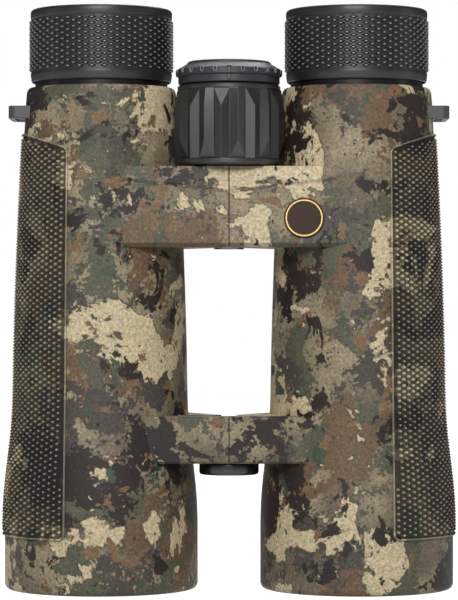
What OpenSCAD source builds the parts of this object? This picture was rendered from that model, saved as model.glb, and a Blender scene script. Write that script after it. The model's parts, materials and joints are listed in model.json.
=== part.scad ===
// Open-bridge roof-prism binoculars, 50 mm objectives, standing on their objective rims.
// +Z runs from the objectives up to the eyecups, and the user's top side faces -Y.
// The barrel axes stand at y = 0, and the hinge, the focus knob and the tripod socket share
// one axis in front of them. The barrels are drawn fully spread.

/* [Barrels] */
// Distance between the two barrel axes when fully spread
ipd = 75.5; // [74.5:0.1:77]
// Outer radius of the armour at the objective rim
rim_r = 28.5; // [28.2:0.1:28.7]
// Outer radius of the armour at the waist, above the flare
waist_r = 25.5; // [25:0.1:26]
// Outer radius of the armour below the top shoulder
neck_r = 22.1; // [22:0.1:22.6]
// Height of the straight objective rim, below the flare
flare_z = 16.2; // [15:0.1:16.4]
// Height of the flare
flare_h = 45; // [40:0.5:50]
// Height at which the slow taper towards the eyepiece starts
taper_z = 52; // [46:0.5:56]
// Height of the top shoulder's lower edge
shoulder_z = 146; // [145.5:0.1:146.5]
// Height of the rounded top shoulder
shoulder_h = 2.3; // [2:0.1:2.4]
// How far the top shoulder rounds inwards
shoulder_in = 1.2; // [0.8:0.1:1.4]
// Rounding of the armour's bottom edge
rim_round = 1.8; // [1:0.1:2.2]
// Thickness of the rubber armour
armor_t = 1.2; // [1:0.05:1.3]
// Thickness of the armour's lips around the tube's two ends
lip_t = 0.8; // [0.5:0.1:1.2]

/* [Optics] */
// Radial width between the clear objective and the outside of the rim
objective_wall = 3.5; // [3.4:0.1:4]
// Radial width of the seat that holds each objective element
objective_seat = 0.25; // [0.2:0.05:0.3]
// Radial wall of the objective cell
cell_wall = 0.55; // [0.45:0.05:0.6]
// Height of the retaining ring's outer face above the rim
hood_depth = 5; // [4.5:0.1:7]
// Height of the retaining ring
retainer_h = 2.1; // [1.5:0.1:3]
// Height of the objective cell
cell_h = 12.6; // [12:0.1:16]
// Height of the cell's ledge above the rear element
cell_ledge_h = 2.5; // [2:0.1:3]
// Radial width of the cell's ledge inside the clear objective
cell_ledge_in = 0.8; // [0.5:0.1:1.2]
// Distance of the front element above the retaining ring
crown_seat = 0.6; // [0.5:0.1:1]
// Edge thickness of the front element
crown_edge = 2; // [1.5:0.1:2.5]
// Bulge of the front element's outer face
crown_bulge = 2.1; // [1.6:0.1:2.3]
// Bulge of the two faces that meet between the objective's elements
cement_bulge = 2.4; // [2:0.1:2.8]
// Bulge of the rear element's inner face
flint_bulge = 0.7; // [0.4:0.1:0.8]
// Radius of the focusing cell
focus_cell_r = 20.9; // [20.5:0.1:21]
// Radius of the focusing lens
focus_lens_r = 15; // [13:0.1:16]
// Height of the focusing cell's lower face at rest
focus_cell_z = 84; // [80:0.5:85]
// Height of the focusing cell
focus_cell_h = 7; // [6:0.1:8]
// Distance of the focusing lens's rim from the cell's two faces
focus_lens_inset = 1; // [0.5:0.1:1.5]
// Depth of the hollow in each face of the focusing lens
focus_hollow = 1; // [0.6:0.1:1.3]
// Distance of the focusing rod from the barrel axis
rod_reach = 19; // [18.8:0.1:19.1]
// Radius of the focusing rod
rod_r = 1.3; // [1:0.1:1.4]
// Radius of the prism cage
cage_r = 17.2; // [16.9:0.1:17.3]
// Width of the prisms across the fold of the light
prism_w = 25.8; // [24:0.2:26]
// Thickness of the prisms along the other way
prism_t = 20; // [18:0.2:20.4]
// Height of the prism pair
prism_h = 24.6; // [23:0.1:25]
// Slope of the air gap between the two prisms, in degrees
prism_slope = 22.5; // [20:0.5:25]
// Width of the air gap between the two prisms, measured upwards
prism_gap = 0.6; // [0.4:0.1:1]
// Shortest edge of the lower prism
prism_edge = 1.5; // [1:0.1:2]
// Size of the flat cut across the upper prism's corner
prism_cut = 9; // [7:0.5:10]
// Wall of the prism cage below and above the prisms
cage_wall = 1.2; // [1:0.1:1.6]
// Thickness of the flange that holds the prism cage
cage_flange_h = 1.4; // [1.2:0.1:2]
// Outer radius of the eyepiece barrel
eyepiece_r = 18.5; // [18.2:0.1:18.6]
// Radius of the eyepiece's inner lenses
field_lens_r = 14; // [13:0.1:15]
// Height of the field lens above the eyepiece's lower end
field_lens_lift = 4; // [3.5:0.1:5]
// Edge thickness of the field lens
field_lens_edge = 2; // [1.5:0.1:2.5]
// Bulge of the field lens's upper face
field_bulge = 2; // [1.5:0.1:2.5]
// Distance of the doublet's upper rim below the eye lens
doublet_drop = 6; // [5.5:0.1:7]
// Edge thickness of the doublet's thick element
doublet_thick = 5.4; // [5:0.1:6]
// Edge thickness of the doublet's thin element
doublet_thin = 1.5; // [1.2:0.1:2]
// Bulge of the two faces that meet in the doublet
doublet_bulge = 2.6; // [2:0.1:3]
// Bulge of the doublet's outer faces, the lower one hollow
doublet_crown = 1.4; // [1:0.1:1.8]
// Radius of the eye lens
eye_lens_r = 12; // [11:0.1:12.5]
// Distance of the eye lens's lower rim below the eyepiece's end
eye_lens_drop = 7; // [6:0.1:8]
// Height of the lip above the eye lens
eye_lip_h = 1.5; // [1:0.1:2]
// Bulge of the eye lens's lower face
eye_bulge = 1.2; // [0.8:0.1:1.6]
// Depth of the hollow in the eye lens's upper face
eye_hollow = 0.3; // [0.2:0.05:0.5]
// Thickness of the field stop
field_stop_t = 1; // [0.6:0.1:1.4]
// Clear radius of the field stop
field_stop_r = 9.5; // [8:0.1:11]
// Radius of the sealing ring's round section
seal_r = 0.4; // [0.3:0.05:0.45]

/* [Eyecups] */
// Outer radius of the eyecup's rubber
eyecup_r = 21.2; // [21:0.1:21.6]
// Height of the lowered eyecup
eyecup_h = 21; // [20:0.1:23]
// Radius of the eyecup's mouth
mouth_r = 16.6; // [15.5:0.1:17.5]
// Radial wall of the click ring
click_t = 0.75; // [0.6:0.05:0.8]
// Radial wall of the eyecup's sleeve
sleeve_t = 0.95; // [0.8:0.05:1]
// Clear radius of the sleeve's inner lip
sleeve_lip_r = 13.6; // [12.8:0.1:14.5]
// Height of the sleeve's inner lip
sleeve_lip_h = 1.5; // [1.2:0.1:2]
// Depth of the eyecup's mouth above the sleeve
mouth_depth = 5.3; // [4.5:0.1:6]
// Height of the smooth band at the eyecup's lower end, where it narrows
eyecup_band = 2.6; // [2:0.1:3.2]
// How far the eyecup's smooth bands stand back from its ribbed part
band_in = 0.35; // [0.2:0.05:0.5]
// Rounding of the eyecup's top outer edge
eyecup_round = 1.8; // [1.2:0.1:2.2]
// Rounding of the eyecup's mouth
mouth_round = 1.5; // [1:0.1:2]
// Height of the dark gap between the armour and the eyecup
neck_gap = 1.3; // [1.1:0.1:1.6]

/* [Bridges] */
// Height of the lower bridge's underside
lower_z = 37.8; // [34:0.1:40]
// Height of the lower bridge
lower_h = 13.6; // [12.8:0.1:16]
// Distance of the lower bridge's front face from the barrel axes
lower_front = 22.2; // [22:0.1:23]
// Height of the upper bridge's underside
upper_z = 100.3; // [99.9:0.1:100.6]
// Height of the upper bridge
upper_h = 24.2; // [23.8:0.1:24.6]
// Distance of the upper bridge's front face from the barrel axes at its foot
upper_front = 24.3; // [24:0.1:24.6]
// How far the upper bridge's front face leans back between its foot and the crease
upper_lean = 1.8; // [1.4:0.1:2]
// How far the facet above the crease leans back
facet_lean = 0.6; // [0.3:0.1:1]
// Distance of the crease below the upper bridge's top
crease_drop = 4.5; // [3:0.1:6]
// Distance of the bridges' rear faces behind the barrel axes
bridge_rear = 10; // [8:0.5:12]
// Bevel along the upper bridge's front foot
upper_chamfer = 1.2; // [0.8:0.1:1.5]
// Bevel along the lower bridge's two front edges
lower_chamfer = 0.6; // [0.4:0.1:1]
// Thickness of the bridge covers
cover_t = 1.5; // [1.2:0.1:1.6]
// Thickness of the covers' top and bottom plates
plate_t = 1.3; // [1:0.1:1.4]
// Gap between the two halves of each bridge
seam = 0.3; // [0.3:0.05:0.5]

/* [Hinge] */
// Radius of the upper hinge's knuckles
upper_knuckle_r = 9.5; // [9:0.1:9.7]
// Radius of the lower hinge's knuckles
lower_knuckle_r = 8; // [7.6:0.1:8.2]
// Outer radius of the upper hinge's hollow pin
hinge_tube_r = 7.6; // [7.4:0.1:7.8]
// Wall of the upper hinge's hollow pin
hinge_tube_t = 1; // [0.8:0.05:1.1]
// Radius of the hinge pins' visible ends
pin_end_r = 4.35; // [4:0.05:4.6]
// Radius of the lower hinge pin
lower_pin_r = 5.6; // [5.5:0.05:5.8]
// Height of each hinge washer
washer_h = 0.4; // [0.3:0.05:0.5]
// Fold of the right barrel about the hinge, in degrees
fold = 48; // [30:1:50]
// Angle of the covers' rear faces about the hinge, measured from the line across the barrels
rear_angle = 60; // [58:1:64]

/* [Tripod socket] */
// Radius of the tripod thread
socket_r = 3.175; // [3:0.005:3.3]
// Depth of the tripod thread
socket_depth = 12; // [9:0.1:12.4]
// Wall of the threaded insert
socket_wall = 1.3; // [1:0.05:1.3]
// Radius of the socket's screw cap
cap_r = 8; // [7.5:0.1:8.5]
// Height of the socket's screw cap
cap_h = 3.3; // [3:0.1:4]
// Thickness of the cap's end
cap_t = 1.2; // [1:0.1:1.4]

/* [Focusing] */
// Radius of the focus knob over its ridges
knob_r = 16.2; // [15.6:0.1:16.4]
// Height of the focus knob
knob_h = 22.4; // [21:0.1:23]
// Number of ridges on the focus knob
knob_ridges = 20; // [16:2:24]
// Depth of the grooves between the ridges
groove_depth = 1.45; // [1:0.05:1.5]
// Height of the knob's plain bottom band
knob_band_low = 2.2; // [1.5:0.1:3]
// Height of the knob's plain top band
knob_band_top = 1.5; // [1:0.1:2.5]
// Length by which each groove stops short of one band
groove_stop = 4.7; // [3:0.1:6]
// Bevel along the knob's two ends
knob_bevel = 0.5; // [0.3:0.1:0.8]
// How far the knob's plain bands stand back at the bottom
band_low_in = 0.4; // [0.2:0.1:0.6]
// How far the knob's plain bands stand back at the top
band_top_in = 1.2; // [0.8:0.1:1.4]
// Radius of the knob's plastic core
core_r = 14; // [13.2:0.1:14.1]
// Wall of the core around the diopter ring's skirt
core_wall = 2.5; // [2:0.1:2.8]
// Thickness of the core's floor
core_floor = 4; // [3:0.1:5]
// Smallest gap between the knob's ridges and the armour
knob_gap = 0.65; // [0.5:0.05:0.8]
// Radius of the focus screw's threaded length
screw_r = 2.4; // [2:0.05:2.6]
// Radius of the focus screw's shaft in its bush
shaft_r = 3; // [2.8:0.05:3.4]
// Focusing travel of the carriage to each side of its rest place
focus_travel = 2.5; // [2:0.1:2.6]
// Diopter travel of the left cell to each side of its rest place
diopter_travel = 0.6; // [0.4:0.05:0.7]
// Thickness of the focusing arms
arm_t = 1.2; // [1:0.05:1.3]
// Width of the focusing arms
arm_w = 5; // [4:0.1:5.4]
// Thickness of the carriage's flanges
flange_t = 0.8; // [0.7:0.05:0.9]
// Radius of the diopter ring's lower band
diopter_band_r = 14.8; // [14:0.1:15.2]
// Largest radius of the diopter ring
diopter_r = 15.5; // [15:0.1:16]
// Radius of the diopter ring at the top of its cone
diopter_top_r = 12.5; // [12:0.1:13]
// Height of the diopter ring
diopter_h = 6.6; // [6:0.1:7.5]
// Height of the diopter ring's lower band
diopter_band_h = 3; // [2.5:0.1:3.4]
// Bevel along the diopter ring's top edge
diopter_bevel = 0.7; // [0.4:0.1:1]
// Length of the diopter ring's skirt inside the knob
diopter_skirt_h = 6; // [5:0.1:8]
// Wall of that skirt
diopter_skirt_t = 2; // [1.5:0.1:2.2]
// Thickness of the diopter ring's top
diopter_roof_t = 2.6; // [2.2:0.1:3]
// Thickness of the plain cap in the diopter ring
diopter_cap_t = 1; // [0.8:0.05:1.2]
// Radius of the plain cap in the diopter ring
diopter_cap_r = 10.5; // [9.5:0.1:11]
// Number of notches around the diopter ring
notches = 24; // [12:1:30]
// Width of each notch
notch_w = 1; // [0.6:0.1:1.2]
// Height of each notch
notch_h = 1.6; // [1.2:0.1:1.8]

/* [Trim] */
// Height of the grip panels' lower edge
grip_z = 16.7; // [14:0.1:20]
// Distance of the grip panels' top edge below the strap lugs at the outer side
grip_drop = 4.3; // [3.5:0.1:6]
// How much lower that edge is at the front
grip_slope = 4.9; // [3:0.1:6]
// Angle between the user's top side and a grip panel's front edge, in degrees
grip_edge = 22; // [16:1:30]
// How far the grip panels stand proud of the armour
grip_t = 0.7; // [0.5:0.05:0.9]
// Distance of a strap lug's lower face below the top shoulder
lug_drop = 7.8; // [7:0.1:8.5]
// Thickness of a strap lug
lug_h = 3.8; // [3.2:0.1:4.2]
// Depth of a strap lug from front to back
lug_d = 18; // [16:0.2:20]
// Rounding of a strap lug's corners
lug_corner = 2.2; // [1.5:0.1:3]
// How far a strap lug stands out of the armour
lug_out = 4.4; // [4.2:0.1:5]
// Length of the strap slot
slot_l = 12; // [10:0.2:13]
// Width of the strap slot
slot_w = 2.3; // [2:0.05:2.5]
// Radius of the blank badge
badge_r = 5.8; // [5:0.1:6.5]
// Thickness of the blank badge
badge_t = 0.6; // [0.4:0.05:0.8]
// Width of the blank badge's raised rim
badge_rim = 0.7; // [0.4:0.1:1]
// Height of that rim
badge_rim_h = 0.2; // [0.1:0.05:0.3]
// Distance of the badge from the seam
badge_x = 21.6; // [18:0.1:23]
// Height of the badge above the upper bridge's underside
badge_z = 8.3; // [7.5:0.1:11]

/* [Fits] */
// Gap between pieces that are bonded, pressed or screwed together
bond = 0.05; // [0.03:0.01:0.08]
// Radial gap of shafts and sliding sleeves in their bores
run = 0.05; // [0.03:0.01:0.08]
// Gap between pieces that pass each other without guiding
free = 0.3; // [0.25:0.05:0.35]

/* [Hidden] */
$fn = 96;
left = -1;
right = 1;
eps = 0.01;
far = 100;

// Step from 0 to 1 that starts and ends level and without curvature
function smooth(t) = let (u = min(1, max(0, t))) u * u * u * (u * (6 * u - 15) + 10);

// Outer radius of the armour at height z
function barrel_r(z) = rim_r
    - (rim_r - waist_r) * smooth((z - flare_z) / flare_h)
    - (waist_r - neck_r) * pow(max(0, z - taper_z) / (shoulder_z - taper_z), 1.6);

armor_top = shoulder_z + shoulder_h;
lug_z = shoulder_z - lug_drop;
grip_side_z = lug_z - grip_drop;
grip_front_z = grip_side_z - grip_slope;
rings = 24;
stations = [rim_round, for (i = [0 : rings]) flare_z + (shoulder_z - flare_z) * i / rings];

// Heights along the barrel
tube_bottom = lip_t + bond;
tube_top = armor_top - lip_t - 2 * bond;
cell_z = hood_depth + retainer_h + bond;
ledge_z = cell_z + cell_h + bond;
upper_top = upper_z + upper_h;
lower_top = lower_z + lower_h;
knob_z = upper_top + free + 0.1;
knob_top = knob_z + knob_h;
diopter_z = knob_top + free;
diopter_top = diopter_z + diopter_h;
eyecup_z = armor_top + neck_gap;
eyecup_top = eyecup_z + eyecup_h;
neck_flange_h = neck_gap - 2 * bond;
ring_z = eyecup_z + free;

// Bores of the barrel
objective_r = rim_r - objective_wall;
cell_r = objective_r + objective_seat + cell_wall + bond;
objective_bore = cell_r + 2 * bond;
focus_bore = focus_cell_r + run;
top_bore = eyepiece_r + 1.1;
bore_start = 74;
cage_ledge_z = upper_top - 4.5;

// Hinge axis, placed so that the knob clears both barrels
knob_mid = knob_z + knob_h / 2;
reach = barrel_r(knob_mid) + knob_r + knob_gap;
hinge_y = -sqrt(reach * reach - ipd * ipd / 4);
arm_angle = atan2(-hinge_y, ipd / 2);

// Knuckles of the upper hinge, from the bottom up, around the carriage's room
upper_in_z = upper_z + plate_t + 2 * bond;
upper_in_top = upper_top - plate_t - 2 * bond;
carriage_h = 3 * flange_t + 0.2 + (arm_t + 2 * bond) + (arm_t + 2 * diopter_travel + 4 * bond);
room_h = carriage_h + 2 * focus_travel + 2 * free;
washer_gap = washer_h + 4 * bond;
spare_h = upper_in_top - upper_in_z - room_h - 2 * washer_gap - 2 * free;
upper_low_h = spare_h * 0.28;
upper_high_h = spare_h * 0.22;
upper_left_low = [upper_in_z, upper_in_z + upper_low_h];
upper_right_low = [upper_left_low[1] + washer_gap, upper_left_low[1] + washer_gap + upper_low_h];
room_z = upper_right_low[1] + free;
room_top = room_z + room_h;
upper_right_high = [room_top + free, room_top + free + upper_high_h];
upper_left_high = [upper_right_high[1] + washer_gap, upper_in_top];

// Knuckles of the lower hinge
lower_in_z = lower_z + plate_t + 2 * bond;
lower_in_top = lower_top - plate_t - 2 * bond;
lower_knuckle_h = (lower_in_top - lower_in_z - 2 * washer_gap) / 3;
lower_left_low = [lower_in_z, lower_in_z + lower_knuckle_h];
lower_right = [lower_left_low[1] + washer_gap, lower_left_low[1] + washer_gap + lower_knuckle_h];
lower_left_high = [lower_right[1] + washer_gap, lower_in_top];

// Carriage and focusing arms at rest
carriage_z = room_z + free + focus_travel;
right_arm_z = carriage_z + flange_t + bond;
left_groove_z = right_arm_z + arm_t + bond + flange_t;
left_arm_z = left_groove_z + 2 * bond + diopter_travel;
left_groove_top = left_arm_z + arm_t + diopter_travel + 2 * bond;
hinge_tube_in = hinge_tube_r - hinge_tube_t;
spool_r = hinge_tube_in - run;
groove_r = spool_r - 1.9;
duct_z = room_z;
duct_w = arm_w + 2 * free;
bush_h = 2.5;
screw_foot = upper_in_z + 0.5;

// Prism cage between the focusing cell and the eyepiece
cage_z = cage_ledge_z + 4.6 - prism_h - 2 * cage_wall;
prism_z = cage_z + cage_wall;

// Lower hinge pin, insert and cap
cap_z = lower_z - free - cap_h;
pin_z = cap_z + cap_t + free;
insert_r = socket_r + socket_wall;

// Eyepiece
eyepiece_z = prism_z + prism_h + cage_wall + free + 1;
sleeve_top = eyecup_top - mouth_depth;
eyepiece_top = sleeve_top - sleeve_lip_h - free;
eye_lens_z = eyepiece_top - eye_lens_drop;
seal_reach = top_bore - seal_r - bond;
seal_z = tube_top - 4;
click_r = eyepiece_r + run + click_t;
sleeve_r = click_r + run + sleeve_t;

// Frames of reference and small helpers
module on_side(side) mirror([side < 0 ? 1 : 0, 0, 0]) children();
module at_barrel() translate([ipd / 2, 0, 0]) children();
module at_hinge() translate([0, hinge_y, 0]) children();
module disc(r, z0, z1) translate([0, 0, z0]) cylinder(r = r, h = z1 - z0);
module ring(r_out, r_in, z0, z1) difference() {
    disc(r_out, z0, z1);
    disc(r_in, z0 - 1, z1 + 1);
}
module torus(r, t, z) rotate_extrude() translate([r, z]) circle(r = t, $fn = 24);

// Sector of a disc between two angles, up to 180 degrees apart
module sector(r, from, to, z0, z1) translate([0, 0, z0]) linear_extrude(z1 - z0)
    polygon([[0, 0], for (i = [0 : 4]) let (a = from + (to - from) * i / 4) r * [cos(a), sin(a)]]);

// Height of a lens surface at distance d from the axis: s is its bulge in the middle
function bulge(d, r, s) = s == 0 ? 0 :
    let (q = (r * r + s * s) / (2 * abs(s))) sign(s) * (sqrt(q * q - d * d) - (q - abs(s)));

// Round lens with its rim from z0 to z1, bulging down by s0 and up by s1
module lens(r, z0, z1, s0, s1) rotate_extrude()
    polygon([for (i = [0 : 8]) let (d = r * i / 8) [d, z0 - bulge(d, r, s0)],
             for (i = [8 : -1 : 0]) let (d = r * i / 8) [d, z1 + bulge(d, r, s1)]]);

// Outline of the armour from the rim's bottom edge to the top shoulder, grown by g
function armor_line(g) = concat(
    [for (a = [-90 : 30 : -30]) [rim_r - rim_round + (rim_round + g) * cos(a),
                                 rim_round + (rim_round + g) * sin(a)]],
    [for (z = stations) [barrel_r(z) + g, z]],
    [for (a = [30 : 30 : 90]) [neck_r - shoulder_in + (shoulder_in + g) * cos(a),
                               shoulder_z + (shoulder_h + g) * sin(a)]]);

// Solid of the armour's outside, grown by g
module barrel_solid(g) rotate_extrude()
    polygon(concat([[0, -g]], armor_line(g), [[0, armor_top + g]]));

// Outline of the metal tube's outside, grown by g
function tube_line(g) = concat(
    [[rim_r - armor_t - bond + g, tube_bottom]],
    [for (z = stations) if (z > tube_bottom && z < tube_top) [barrel_r(z) - armor_t - bond + g, z]],
    [[neck_r - armor_t - bond + g, tube_top]]);

module tube_solid(g) rotate_extrude()
    polygon(concat([[0, tube_bottom]], tube_line(g), [[0, tube_top]]));

// Right half of a bridge as a block between the seam and the barrel, inset by i on every side
module bridge_block(z0, z1, front, i, end_x) intersection() {
    along = [cos(rear_angle), sin(rear_angle)];
    inward = [sin(rear_angle), -cos(rear_angle)];
    corner = [0, hinge_y] + i * inward;
    side_x = seam / 2 + i;
    rear_y = bridge_rear - i;
    translate([0, 0, z0]) linear_extrude(z1 - z0) polygon([
        [side_x, -far], [end_x, -far], [end_x, rear_y],
        corner + along * (rear_y - corner[1]) / along[1],
        corner + along * (side_x - corner[0]) / along[0]]);
    rotate([90, 0, 90]) linear_extrude(far) polygon(concat(
        [for (p = front) [p[0] + i, p[1]]], [[far, z1 + 1], [far, z0 - 1]]));
}

// Front faces of the bridges as points of depth and height, from below up
lower_face = [[-lower_front + lower_chamfer, lower_z], [-lower_front, lower_z + lower_chamfer],
              [-lower_front, lower_top - lower_chamfer], [-lower_front + lower_chamfer, lower_top]];
crease_z = upper_top - crease_drop;
upper_face = [[-upper_front + upper_chamfer, upper_z], [-upper_front, upper_z + upper_chamfer],
              [-upper_front + upper_lean, crease_z],
              [-upper_front + upper_lean + facet_lean, upper_top]];
cover_end = ipd / 2 - 4;
arm_end = ipd / 2 - 14;

module upper_block(z0, z1, i, end_x) bridge_block(z0, z1, upper_face, i, end_x);
module lower_block(z0, z1, i, end_x) bridge_block(z0, z1, lower_face, i, end_x);

// Duct of a focusing arm from the hinge to the inside of the barrel
module duct() at_hinge() rotate(arm_angle)
    translate([upper_knuckle_r - 2, -duct_w / 2, duct_z]) cube([reach - upper_knuckle_r - 8, duct_w, room_h]);

// Room left inside the bridges for a hinge arm, for the armour and the covers
module arm_room(g) {
    upper_block(upper_in_z - g, upper_in_top + g, cover_t - g + bond, arm_end + g);
    lower_block(lower_in_z - g, lower_in_top + g, cover_t - g + bond, arm_end + g);
}

module optics_tube(side) color("#4a4a4d") on_side(side) difference() {
    at_barrel() difference() {
        tube_solid(0);
        disc(objective_bore, -1, ledge_z);
        translate([0, 0, ledge_z - eps])
            cylinder(r1 = cell_r - 1, r2 = focus_bore, h = bore_start - ledge_z + 2 * eps);
        disc(focus_bore, bore_start, cage_ledge_z);
        disc(top_bore, bore_start, far + tube_top);
    }
    duct();
}

module armor(side) color("#8c8268") on_side(side) difference() {
    at_barrel() rotate_extrude() polygon(concat(
        armor_line(0),
        [[top_bore + bond, armor_top], [top_bore + bond, armor_top - lip_t],
         [neck_r - armor_t, armor_top - lip_t]],
        [for (i = [len(stations) - 1 : -1 : 0]) if (stations[i] < armor_top - lip_t)
            [barrel_r(stations[i]) - armor_t, stations[i]]],
        [[rim_r - armor_t, lip_t], [objective_bore + bond, lip_t], [objective_bore + bond, 0]]));
    arm_room(bond);
    lug_room(bond);
}

module grip_panel(side) color("#6f6a58") on_side(side) at_barrel() intersection() {
    difference() {
        barrel_solid(grip_t);
        barrel_solid(bond);
    }
    sector(far, grip_edge - 90, 90 - grip_edge, 0, far * 2);
    rotate([90, 0, 0]) translate([0, 0, -far / 2]) linear_extrude(far) polygon([
        [0, grip_z], [far, grip_z], [far, grip_side_z], [neck_r, grip_side_z],
        [neck_r * sin(grip_edge), grip_front_z], [0, grip_front_z]]);
}

module upper_cover(side) color("#8c8268") on_side(side) difference() {
    upper_block(upper_z, upper_top, 0, cover_end);
    upper_block(upper_in_z - bond, upper_in_top + bond, cover_t, arm_end + bond);
    at_hinge() disc(upper_knuckle_r + free, upper_in_z - bond, upper_in_top + bond);
    at_hinge() disc(pin_end_r + 2 * bond, upper_z - 1, upper_top + 1);
    at_barrel() barrel_solid(bond);
}

module lower_cover(side) color("#8c8268") on_side(side) difference() {
    lower_block(lower_z, lower_top, 0, cover_end);
    lower_block(lower_in_z - bond, lower_in_top + bond, cover_t, arm_end + bond);
    at_hinge() disc(lower_knuckle_r + free, lower_in_z - bond, lower_in_top + bond);
    at_hinge() disc(pin_end_r + 2 * bond, lower_z - 1, lower_top + 1);
    at_hinge() disc(lower_pin_r + free, lower_z - 1, lower_in_z);
    at_barrel() barrel_solid(bond);
}

// Knuckles of one arm: own heights stay, and the other arm's heights are cut away
module knuckles(own, r, bore) at_hinge() for (k = own) ring(r, bore, k[0], k[1]);
module passage(gaps, r) at_hinge() for (k = gaps) disc(r, k[0], k[1]);

module upper_arm(side) color("#3c3c3f") on_side(side) {
    own = side > 0 ? [upper_right_low, upper_right_high] : [upper_left_low, upper_left_high];
    gaps = side > 0 ? [[upper_in_z - 1, upper_left_low[1] + washer_gap], [room_z - free, room_top + free],
                       [upper_left_high[0] - washer_gap, upper_in_top + 1]]
                    : [[upper_left_low[1], upper_left_high[0]]];
    bore = hinge_tube_r + (side > 0 ? run : bond);
    difference() {
        union() {
            difference() {
                upper_block(upper_in_z, upper_in_top, cover_t + bond, arm_end);
                passage(gaps, upper_knuckle_r + free);
            }
            knuckles(own, upper_knuckle_r, 1);
        }
        at_hinge() disc(bore, upper_in_z - 1, upper_in_top + 1);
        at_barrel() tube_solid(bond);
        duct();
    }
}

module lower_arm(side) color("#3c3c3f") on_side(side) {
    own = side > 0 ? [lower_right] : [lower_left_low, lower_left_high];
    gaps = side > 0 ? [[lower_in_z - 1, lower_right[0]], [lower_right[1], lower_in_top + 1]]
                    : [[lower_left_low[1], lower_left_high[0]]];
    bore = lower_pin_r + (side > 0 ? run : bond);
    difference() {
        union() {
            difference() {
                lower_block(lower_in_z, lower_in_top, cover_t + bond, arm_end);
                passage(gaps, lower_knuckle_r + free);
            }
            knuckles(own, lower_knuckle_r, 1);
        }
        at_hinge() disc(bore, lower_in_z - 1, lower_in_top + 1);
        at_barrel() tube_solid(bond);
    }
}

// Strap lug: a slotted tongue on a curved foot that lies on the tube under the armour
module lug_room(g) at_barrel() translate([0, -lug_d / 2 - g, lug_z - g])
    cube([barrel_r(lug_z) + lug_out + g, lug_d + 2 * g, lug_h + 2 * g]);

module strap_lug(side) color("#5f5f62") on_side(side) difference() {
    tip = barrel_r(lug_z) + lug_out;
    at_barrel() translate([0, 0, lug_z]) linear_extrude(lug_h) difference() {
        union() {
            translate([0, -lug_d / 2]) square([tip - lug_corner, lug_d]);
            translate([0, lug_corner - lug_d / 2]) square([tip, lug_d - 2 * lug_corner]);
            for (y = [-1, 1]) translate([tip - lug_corner, y * (lug_d / 2 - lug_corner)])
                circle(r = lug_corner);
        }
        translate([tip - lug_out + 0.4, -slot_l / 2]) square([slot_w, slot_l]);
    }
    at_barrel() tube_solid(bond);
}

module objective_ring(side) color("#1c1c1e") on_side(side) at_barrel()
    ring(cell_r, objective_r - 0.1, hood_depth, hood_depth + retainer_h);

module objective_cell(side) color("#2a2a2c") on_side(side) at_barrel() difference() {
    disc(cell_r, cell_z, cell_z + cell_h);
    disc(objective_r + objective_seat + bond, cell_z - 1, cell_z + cell_h - cell_ledge_h);
    disc(objective_r - cell_ledge_in, cell_z - 1, cell_z + cell_h + 1);
}

crown_z = cell_z + crown_seat;
flint_z = crown_z + crown_edge + bond;

module front_lens(side) color("#7fa6b0") on_side(side) at_barrel()
    lens(objective_r + objective_seat, crown_z, crown_z + crown_edge, crown_bulge, cement_bulge);

module rear_lens(side) color("#8fb0a8") on_side(side) at_barrel()
    lens(objective_r + objective_seat, flint_z, cell_z + cell_h - cell_ledge_h - 2 * bond,
         -cement_bulge, flint_bulge);

// Focusing cell with its rod and the forked arm that rides in the carriage
module focus_cell(side) color("#b8b8ba") on_side(side) {
    arm_z = side > 0 ? right_arm_z : left_arm_z;
    at_barrel() {
        ring(focus_cell_r, focus_lens_r + bond, focus_cell_z, focus_cell_z + focus_cell_h);
        translate([-rod_reach * cos(arm_angle), -rod_reach * sin(arm_angle), 0])
            disc(rod_r, focus_cell_z + focus_cell_h - 1, arm_z + arm_t);
    }
    at_hinge() rotate(arm_angle) translate([0, 0, arm_z]) linear_extrude(arm_t) difference() {
        union() {
            circle(r = spool_r - free);
            translate([0, -arm_w / 2]) square([reach - rod_reach, arm_w]);
            translate([reach - rod_reach, 0]) circle(r = rod_r + 0.5);
        }
        circle(r = groove_r + run);
        translate([-far, -groove_r - run]) square([far, 2 * (groove_r + run)]);
    }
}

module focus_lens(side) color("#8fb0a8") on_side(side) at_barrel()
    lens(focus_lens_r, focus_cell_z + focus_lens_inset, focus_cell_z + focus_cell_h - focus_lens_inset,
         -focus_hollow, -focus_hollow);

module prism_cage(side) color("#2a2a2c") on_side(side) at_barrel() difference() {
    union() {
        disc(cage_r, cage_z, cage_z + prism_h + 2 * cage_wall);
        disc(focus_cell_r, cage_ledge_z - cage_flange_h, cage_ledge_z - bond);
    }
    translate([-prism_w / 2 - bond, -prism_t / 2 - bond, prism_z - bond])
        cube([prism_w + 2 * bond, prism_t + 2 * bond, prism_h + 2 * bond]);
    disc(field_stop_r, cage_z - 1, cage_z + prism_h + 2 * cage_wall + 1);
}

module slab() rotate([90, 0, 0]) translate([0, 0, -prism_t / 2]) linear_extrude(prism_t) children();

// Two prisms with a thin slanted air gap: the lower one bends the light, the upper one has the roof
module prisms(side) color("#a9c4c6") on_side(side) at_barrel() {
    rise = prism_w * tan(prism_slope);
    half = prism_w / 2;
    slab() polygon([[-half, prism_z], [half, prism_z], [half, prism_z + prism_edge],
                    [-half, prism_z + prism_edge + rise]]);
    intersection() {
        upper_z0 = prism_z + prism_edge + prism_gap;
        slab() polygon([[-half, upper_z0 + rise], [half, upper_z0],
                        [half, prism_z + prism_h - prism_cut], [half - prism_cut, prism_z + prism_h],
                        [-half, prism_z + prism_h]]);
        roof = prism_t / 2;
        translate([half - roof, 0, 0]) rotate([0, 0, -45])
            translate([-far, 0, prism_z - 1]) cube([far + roof * sqrt(2), far, far]);
    }
}

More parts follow.
